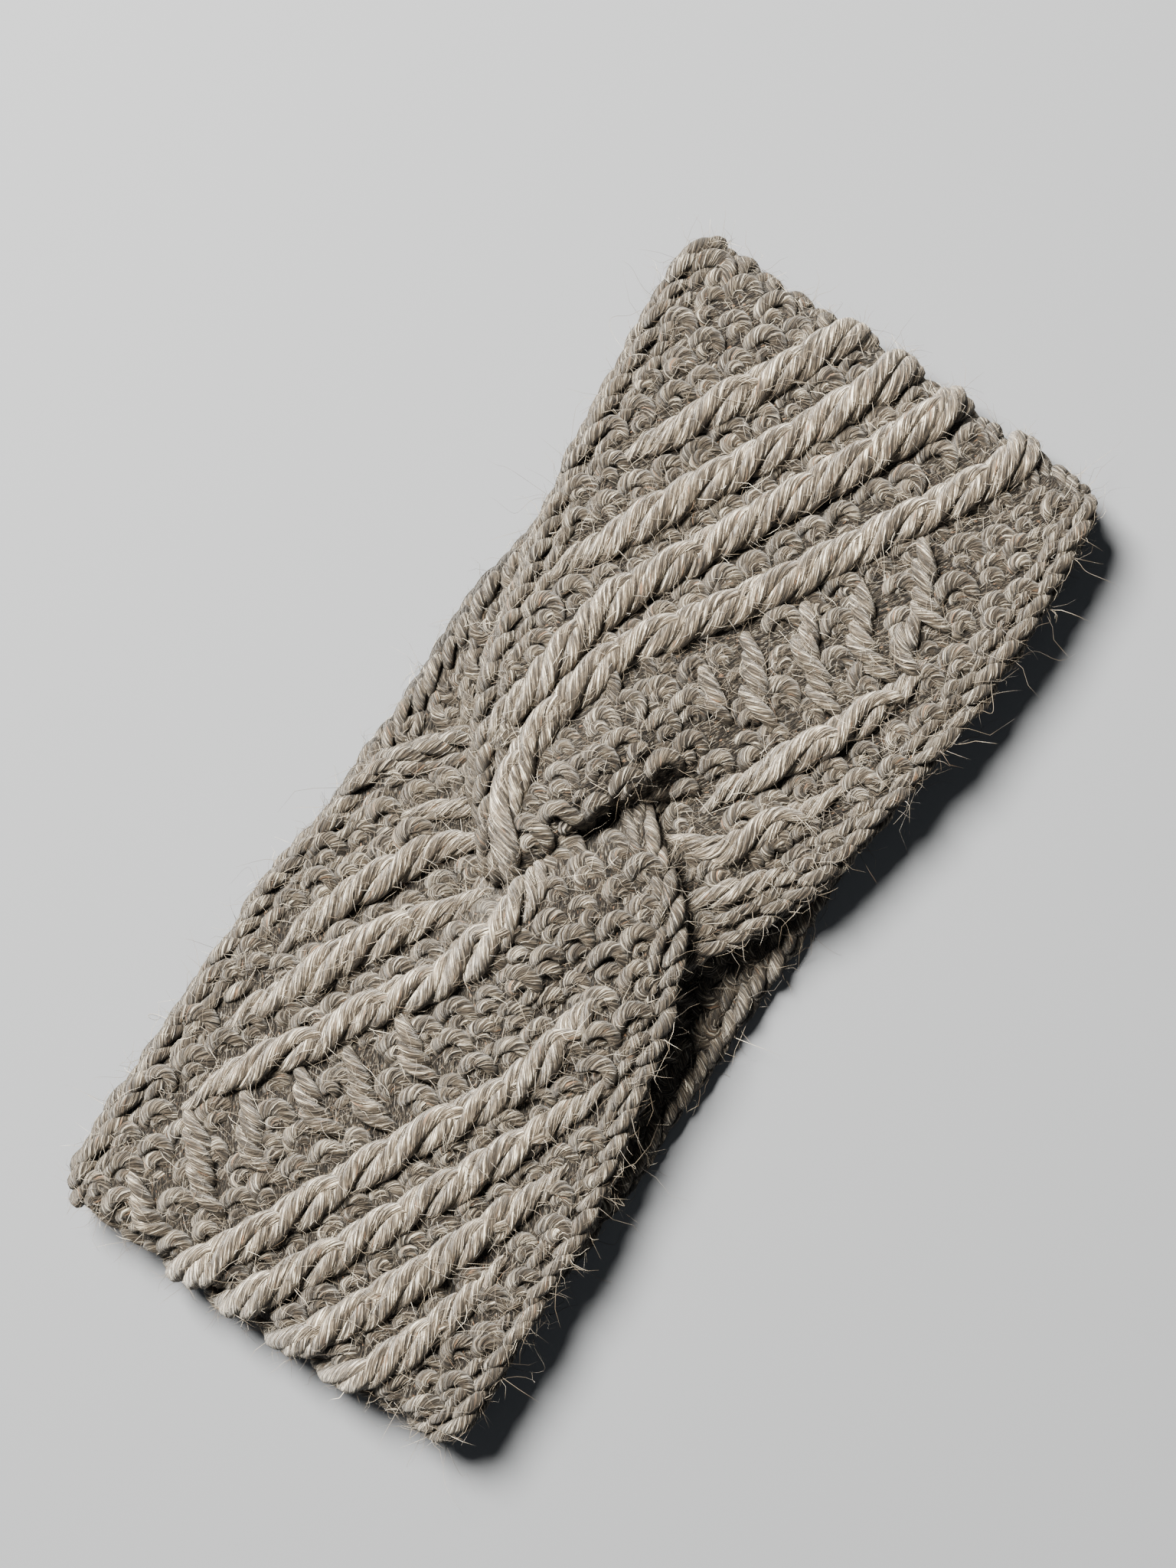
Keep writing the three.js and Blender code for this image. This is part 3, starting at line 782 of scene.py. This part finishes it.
def cells(side, clear=True):
    """Places of the stitches on one half of the strip, from its sewn end to the middle of the back,
    clear of the ridges and bars or not, and whether each is on the front."""
    reach = FOLD_REACH + side * TWIST_X
    first, gap = CELL_ROWS[side]
    columns = (np.arange(*COLUMNS_TRIED) + 0.5) * CELL_X * side
    rows = np.arange(*ROWS_TRIED)
    x, y = np.meshgrid(columns, first + rows * gap, indexing="ij")
    y = (y - RIDGE_SLOPE * x).ravel()
    x = x.ravel()
    along = side * x
    on_wing = along < reach
    real = side * (2 * reach + FOLD_LENGTH - along)
    left = np.interp(real, BACK_EDGES[:, 0], BACK_EDGES[:, 1]) - EDGE_CLEAR
    right = np.interp(real, BACK_EDGES[:, 0], BACK_EDGES[:, 2]) + EDGE_CLEAR
    rim = spaced(np.vstack([OUTLINES[side], OUTLINES[side][:1]])[:-1], 1.0)
    in_wing = inside(OUTLINES[side], x, y) & (distance_to(rim, x, y) > EDGE_CLEAR) & shows(side, x, y)
    past = (y < left) & (y > right) & (along < 2 * reach + FOLD_LENGTH)
    keep = np.where(on_wing, in_wing, past)
    for reach_of, lines in ((UNDER_RIDGE, ridge_curves), (UNDER_BAR, bar_curves)) if clear else ():
        for line_side, line in lines:
            if line_side == side:
                keep &= distance_to(line, x, y) > reach_of
    return x[keep], y[keep], along[keep] < reach + ON_FRONT * FOLD_LENGTH


def stitches(side, x, y, route, points):
    """One yarn for each place, each a copy of a route of x, y, height and radius."""
    path = through(route, points)
    count = len(x)
    turn_spread, size_spread, place_spread, height_spread = UNEVEN_STITCH
    turn = rng.normal(0, turn_spread, (count, 1))
    grow = 1 + rng.normal(0, size_spread, (count, 1))
    px, py = path[None, :, 0] * grow, path[None, :, 1] * grow
    return dict(
        side=np.full((count, 1), side),
        x=x[:, None] + px * np.cos(turn) - py * np.sin(turn) + rng.normal(0, place_spread, (count, 1)),
        y=y[:, None] + px * np.sin(turn) + py * np.cos(turn) + rng.normal(0, place_spread, (count, 1)),
        height=path[None, :, 2] + rng.normal(0, height_spread, (count, 1)),
        radius=path[None, :, 3] * grow)


# Darkened to about half as painted shade of the valleys between the ridges; the selvedges and the
# back's stitches share this wool and its painted shade.
ground_wool = wool(
    "ground_wool", locks=6, fibre_count=26, run=0.3, lean=0.115, darken=0.54, underside_shade=0.18)
for side, name in ((1, "right"), (-1, "left")):
    x, y, front = cells(side)
    batches = [stitches(side, x[front], y[front], route, points=11) for route in STITCH]
    sweep(f"ground_stitches_{name}", merge(batches), ground_wool, sides=10, ribs=4, rib_depth=0.03)


# The selvedges
# A chain along each edge of the strip: every link has one yarn slanting over the edge, one lying
# along it and one inside it.
LINK_GAP = 5.7
LINK_LOOSENESS = 1.6
LINKS_HIDDEN_WITHIN = 60
LINK_POINTS = 9

# Yarns of one link: along, outward, height, radius
EDGE_LINK = [
    [(-4.6, -2.4, -0.1, 1.1), (-2.3, -1.2, 1.9, 1.65), (0, -0.1, 2.5, 1.8), (2.3, 0.5, 1.7, 1.65),
     (4.2, 0.8, -0.4, 1.1)],
    [(-4.4, 0.5, -1.2, 1.1), (-1.6, 1.1, -0.3, 1.55), (1.6, 1.2, -0.8, 1.6), (4.4, 0.7, -2.0, 1.1)],
    [(-4.0, -4.9, 0.0, 1.1), (-1.4, -4.4, 1.5, 1.55), (1.4, -3.7, 1.6, 1.6), (4.0, -3.2, 0.0, 1.1)],
]


def selvedge(side, over):
    """A selvedge from its sewn end to the middle of the back, as rows of unrolled x and y."""
    columns = [0, 1] if over else [4, 5]
    wing = through(SECTIONS[side][::-1], 80)[:, columns] * side
    reach = FOLD_REACH + side * TWIST_X
    out = np.linspace(0, FOLD_LENGTH, 12)[1:]
    fold = np.stack([side * (reach + out), np.full(len(out), wing[-1, 1])], -1)
    out = np.linspace(0, reach, 60)[1:]
    column = 1 if over == (side > 0) else 2
    back_y = np.interp(side * (reach - out), BACK_EDGES[:, 0], BACK_EDGES[:, column])
    back = np.stack([side * (reach + FOLD_LENGTH + out), back_y], -1)
    line = np.vstack([wing, fold, back])
    return spaced(line if side > 0 else line[::-1], CURVE_STEP)


links = []
for side in (1, -1):
    for over in (True, False):
        curve = selvedge(side, over)
        outward = 1 if over == (side > 0) else -1
        length = np.linalg.norm(np.diff(curve, axis=0), axis=1).sum()
        centres = np.arange(LINK_GAP / 2, length, LINK_GAP)
        spots, _ = along_path(curve, centres)
        seen = (np.abs(spots[:, 0]) > LINKS_HIDDEN_WITHIN) | shows(side, spots[:, 0], spots[:, 1])
        for route in EDGE_LINK:
            route = np.array(route) * (-outward, 1, 1, 1)
            links.append(follow(side, curve, centres[seen], route, LINK_POINTS, outward, LINK_LOOSENESS))
links = merge(links)
selvedges = sweep("selvedges", links, ground_wool, sides=9, ribs=4, rib_depth=0.03)


# The back layer
# The same crochet, made in one with the wings. The ridges and ground stitches on the face that lies
# on the floor are pressed flat by it.
BACK_RIDGE_FIRST, BACK_RIDGE_GAP, BACK_RIDGES = 30.2, 14, 6
BACK_RIDGE_END = 6

back_posts = list(posts_past_fold)
back_reach = FOLD_REACH - TWIST_X
for k in range(BACK_RIDGES):
    x = np.arange(BACK_RIDGE_END - back_reach, back_reach - BACK_RIDGE_END, CURVE_STEP)
    y = BACK_RIDGE_FIRST - BACK_RIDGE_GAP * k + RIDGE_SLOPE * x
    inner = np.abs(y) < RIDGE_END_Y
    curve = np.stack([-(2 * back_reach + FOLD_LENGTH + x[inner]), y[inner]], -1)[::-1]
    back_posts.append(posts(-1, curve))
back_yarns = merge(back_posts)
coarse = {key: value[:, ::2] if value.shape[1] > 1 else value for key, value in back_yarns.items()}
back_ridges = sweep("ridges_of_back", coarse, post_wool, sides=9, ribs=3, rib_depth=0.0)

back_stitches = []
for side in (1, -1):
    x, y, front = cells(side)
    back_stitches += [stitches(side, x[~front], y[~front], route, points=6) for route in STITCH[:2]]
back_ground = sweep(
    "ground_stitches_of_back", merge(back_stitches), ground_wool, sides=5, ribs=3, rib_depth=0.0)

# Where the wrong side of the back shows past the front's selvedges: x from, x to, y from, y to
SHOWING = [(-45, 70, 30, 60), (-85, 35, -60, -26)]
link_along = (links["side"] * links["x"])[:, LINK_POINTS // 2]
inner_stitches = [pick(links, link_along > FOLD_REACH + TWIST_X + ON_FRONT * FOLD_LENGTH)]
for side in (1, -1):
    x, y, front = cells(side, clear=False)
    real = side * (2 * (FOLD_REACH + side * TWIST_X) + FOLD_LENGTH) - x
    seen = np.zeros(len(x), bool)
    for x_from, x_to, y_from, y_to in SHOWING:
        seen |= (real > x_from) & (real < x_to) & (y > y_from) & (y < y_to)
    seen &= ~front
    inner_stitches += [stitches(side, x[seen], y[seen], route, LINK_POINTS) for route in STITCH]
inner_ground = sweep(
    "stitches_inside_back", merge(inner_stitches), ground_wool, sides=8, ribs=3, rib_depth=0.03, face=-1)


# The seam
# Overcast stitches of the same wool, sewn through under the line where the wings meet. They hold
# the two ends of the strip together, and the twist hides them.
SEAM_REACH, SEAM_LEAN, SEAM_STITCHES = 14, 3, 9
SEAM_DEPTH = 6.4
COIL_WIDTH, COIL_HEIGHT, COIL_POINTS = 2.6, 2.4, 12
SEAM_YARN_RADIUS, SEAM_YARN_SIDES = 1.0, 10

seam_x = np.linspace(-SEAM_REACH, SEAM_REACH, SEAM_STITCHES * COIL_POINTS + 1)
seam_y = np.interp(seam_x, MEETING_LINE[:, 0], MEETING_LINE[:, 1]) - SEAM_LEAN * seam_x / SEAM_REACH
coil = 2 * math.pi * np.linspace(0, SEAM_STITCHES, len(seam_x))
seam_y = seam_y + COIL_WIDTH / 2 * np.cos(coil)
seam_z = FRONT_Z - SEAM_DEPTH + COIL_HEIGHT / 2 * np.sin(coil)
seam_middle = np.stack([seam_x - TWIST_X, seam_y - TWIST_Y, seam_z], -1)[None] * MM
seam_ahead = np.gradient(seam_middle, axis=1)
seam_ahead /= np.linalg.norm(seam_ahead, axis=-1, keepdims=True)
seam_across = np.cross((0.0, 0.0, 1.0), seam_ahead)
seam_across /= np.linalg.norm(seam_across, axis=-1, keepdims=True)
seam_wool = wool("seam_wool", locks=4, fibre_count=22, run=0.12, lean=0.08, underside_shade=0.4)
seam_thick = np.full((1, len(seam_x), SEAM_YARN_SIDES), SEAM_YARN_RADIUS * MM)
seam = tubes("seam_stitches", seam_middle, seam_across, np.cross(seam_ahead, seam_across),
             seam_thick, seam_wool)
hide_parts("seam_yarn")


# Loose fibres
# The wool is hairy: fine fibres, most of them 2 to 9 mm long, are spun into every yarn at one end
# and stand off it at the other, mostly along its run.
FIBRES_PER_MM = 0.84
FIBRE_SHARES = {
    "raised_ridges": 1.4, "bars": 1.3, "ground_stitches_right": 1.1, "ground_stitches_left": 1.1,
    "selvedges": 0.8, "stitches_inside_back": 0.3}
FIBRE_RADIUS, FIBRE_POINTS, FIBRE_WAVES = 0.048, 4, 1.0
# Shape and scale of the spread of lengths in mm and of lifts off the yarn in radians
FIBRE_LENGTH, FIBRE_LIFT = (4.0, 1.25), (2.0, 0.22)
# Middle and spread of the bend sideways and of the curl away from the yarn, for each length
FIBRE_BEND, FIBRE_CURL = (0, 0.45), (-0.2, 0.25)
# Spread of a root round the yarn, of its place along it in mm, and of a fibre's heading
ROOT_TURN, ROOT_SHIFT, HEADING = 0.95, 0.5, 0.8
ROOT_DEPTH, ROOTLESS_POINTS = 0.9, 2
WAVE_RATE, WAVE_SIDEWAYS, WAVE_OUT = 7, 0.12, 0.10
TIP_THINNING, HAIR_SIDES = 0.75, 3
FIBRES_A_PIECE = 9500
LOWEST = 0.15
# No hair reaches farther than this from the middle of the floor, and none is cut below the share
HAIR_LIMIT = (141, 64, 42)
LEAST_SHARE = 0.05
fibre_finish = wool("loose_fibre", locks=2, fibre_count=3, run=0.05, lean=0, relief=0, darken=1.15)


def hairs(name, roots, ways, outs, lengths, bends, curls, radius, points, waviness):
    """Thin tapered hairs from roots: ways along them, outs away from the cloth. One that would end
    far from the band is made shorter."""
    sideways = np.cross(ways, outs)
    s = np.linspace(0, 1, points)[None, :, None]
    phase = rng.uniform(0, 2 * math.pi, (2, len(roots), 1, 1))
    wave = waviness * (np.sin(WAVE_RATE * s + phase) - np.sin(phase))
    shift = sideways[:, None] * (bends[:, None, None] * s ** 2 + WAVE_SIDEWAYS * wave[0] * s)
    rise = outs[:, None] * (curls[:, None, None] * s ** 2 + WAVE_OUT * wave[1] * s)
    middle = roots[:, None] + (ways[:, None] * s + shift + rise) * lengths[:, None, None]
    growth = np.maximum(np.abs(middle) - np.abs(roots[:, None]), 1e-9)
    room = (np.array(HAIR_LIMIT) * MM - np.abs(roots[:, None])) / growth
    fitted = np.clip(room.min(axis=(1, 2)), LEAST_SHARE, 1)[:, None, None]
    middle = roots[:, None] + (middle - roots[:, None]) * fitted
    middle[..., 2] = np.maximum(middle[..., 2], LOWEST * MM)
    ahead = np.gradient(middle, axis=1)
    ahead /= np.maximum(np.linalg.norm(ahead, axis=-1, keepdims=True), 1e-9)
    across = np.cross(ahead, outs[:, None] + 0.01)
    across /= np.maximum(np.linalg.norm(across, axis=-1, keepdims=True), 1e-9)
    taper = radius * (1 - TIP_THINNING * np.linspace(0, 1, points) ** 2) * MM
    thick = np.broadcast_to(taper[None, :, None], (len(middle), points, HAIR_SIDES))
    piece = tubes(name, middle, across, np.cross(ahead, across), thick, fibre_finish)
    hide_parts("crochet_strip")
    return piece


def roots_on(bundle, per_mm):
    """Random places on the upper faces of a bundle of yarns."""
    middle, ahead, across, up, radius = bundle
    total = np.linalg.norm(np.diff(middle, axis=1), axis=-1).sum() / MM
    count = round(total * per_mm)
    n = rng.integers(0, middle.shape[0], count)
    i = rng.integers(ROOTLESS_POINTS, middle.shape[1] - ROOTLESS_POINTS, count)
    angle = rng.normal(math.pi / 2, ROOT_TURN, count)[:, None]
    out = across[n, i] * np.cos(angle) + up[n, i] * np.sin(angle)
    moved = rng.normal(0, ROOT_SHIFT, (count, 1)) * MM
    root = middle[n, i] + out * radius[n, i][:, None] * ROOT_DEPTH + ahead[n, i] * moved
    heading = rng.normal(0, HEADING, (count, 1))
    way = ahead[n, i] * np.cos(heading) + np.cross(out, ahead[n, i]) * np.sin(heading)
    return root, way * rng.choice([-1, 1], (count, 1)), out


gathered = [roots_on(strands[name], FIBRES_PER_MM * share) for name, share in FIBRE_SHARES.items()]
roots, ways, outs = (np.vstack([part[k] for part in gathered]) for k in range(3))
count = len(roots)
lift = rng.gamma(*FIBRE_LIFT, (count, 1))
directions = ways * np.cos(lift) + outs * np.sin(lift)
lengths = rng.gamma(*FIBRE_LENGTH, count) * MM
bends = rng.normal(*FIBRE_BEND, count)
curls = rng.normal(*FIBRE_CURL, count)
order = rng.permutation(count)
for number, part in enumerate(np.array_split(order, math.ceil(count / FIBRES_A_PIECE))):
    hairs(
        f"loose_fibres_{number + 1}", roots[part], directions[part], outs[part], lengths[part],
        bends[part], curls[part], FIBRE_RADIUS, FIBRE_POINTS, FIBRE_WAVES)


# The stray hairs
# A few longer hairs of the same wool have worked out of the yarns of the selvedges and curl out
# past them.
STRAYS, STRAY_ROOTS_PER_MM = 120, 0.12
STRAY_LENGTH = (7, 19)
STRAY_RADIUS, STRAY_POINTS, STRAY_WAVES = 0.045, 14, 2.2
STRAY_ALONG, STRAY_HEADING = 0.5, 0.4
STRAY_BEND, STRAY_CURL = 0.9, (-1.0, 0.3)

roots, ways, outs = roots_on(strands["selvedges"], STRAY_ROOTS_PER_MM)
some = rng.permutation(len(roots))[:STRAYS]
roots, ways, outs = roots[some], ways[some], outs[some]
directions = STRAY_ALONG * ways + outs + rng.normal(0, STRAY_HEADING, roots.shape)
directions /= np.linalg.norm(directions, axis=1, keepdims=True)
lengths = rng.uniform(*STRAY_LENGTH, len(roots)) * MM
bends = rng.normal(0, STRAY_BEND, len(roots))
curls = rng.uniform(*STRAY_CURL, len(roots))
hairs(
    "stray_hairs", roots, directions, outs, lengths, bends, curls, STRAY_RADIUS, STRAY_POINTS, STRAY_WAVES)
